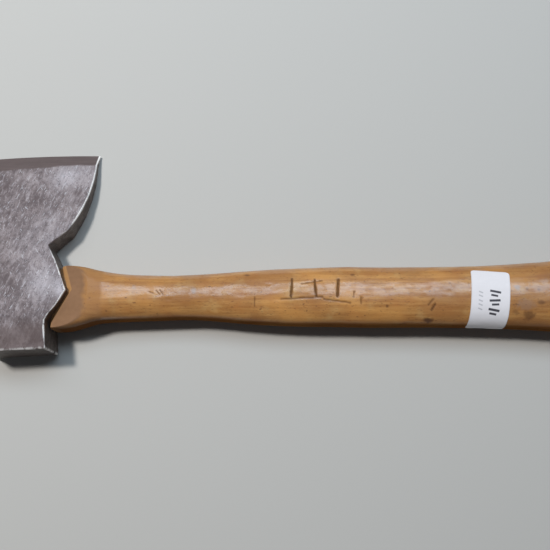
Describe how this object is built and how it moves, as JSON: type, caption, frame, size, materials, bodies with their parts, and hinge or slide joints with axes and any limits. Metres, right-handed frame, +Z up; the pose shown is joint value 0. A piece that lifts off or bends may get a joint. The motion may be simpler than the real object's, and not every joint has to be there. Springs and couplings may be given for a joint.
{
  "type": "fire axe",
  "caption": "Short single-bit fire axe: hatchet head with pointed ears on a waisted wooden haft, wedged in its eye, lying on its side.",
  "frame": {"origin": "on the plane the axe lies on, straight below the centre of the head's eye", "axes": "+X along the haft from the head to the knob, +Y towards the cutting edge, +Z up out of the cheek that the axe lies on"},
  "size_m": [0.3855, 0.1228, 0.0265],
  "materials": {
    "steel": "forged and worn, mottled grey-mauve patina with bright edges",
    "haft_wood": "old orange-tan varnish over ash or hickory, semi-gloss",
    "wedge_wood": "bare end grain",
    "wedge_steel": "dark, lightly rusted",
    "paper": "white self-adhesive label with abstract printed strokes"
  },
  "bodies": {
    "root": {"axe_head": "steel", "haft": "haft_wood", "eye_wedge": "wedge_wood", "steel_wedge_front": "wedge_steel", "steel_wedge_back": "wedge_steel", "paper_label": "paper"}
  },
  "joints": []
}
